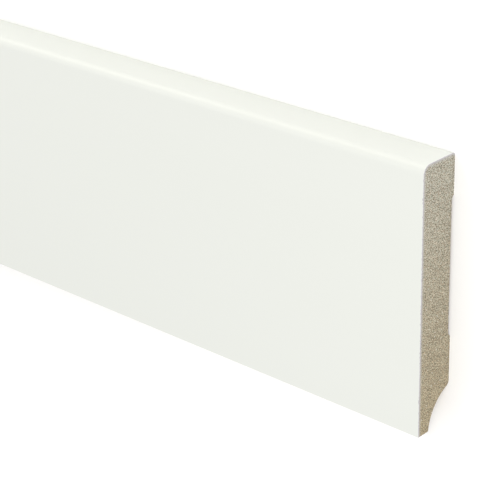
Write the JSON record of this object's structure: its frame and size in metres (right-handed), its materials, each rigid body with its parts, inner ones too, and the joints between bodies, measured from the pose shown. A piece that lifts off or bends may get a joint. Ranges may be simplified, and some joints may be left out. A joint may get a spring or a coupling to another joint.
{
  "type": "skirting board length",
  "caption": "Straight length of white-coated MDF skirting board with a rounded top edge, a recessed back and a cable cove behind its foot.",
  "frame": {"origin": "middle of the back, on the surface that the board lies on, half way along its length and its height", "axes": "+X along the length, +Y up the board's height from the foot to the top edge, +Z through the thickness from the back to the face"},
  "size_m": [2.4, 0.09, 0.015],
  "materials": {
    "coated_mdf": "white satin coat on the face and top edge, bare MDF on the sawn ends and the back"
  },
  "bodies": {
    "root": {"skirting_board": "coated_mdf"}
  },
  "joints": []
}
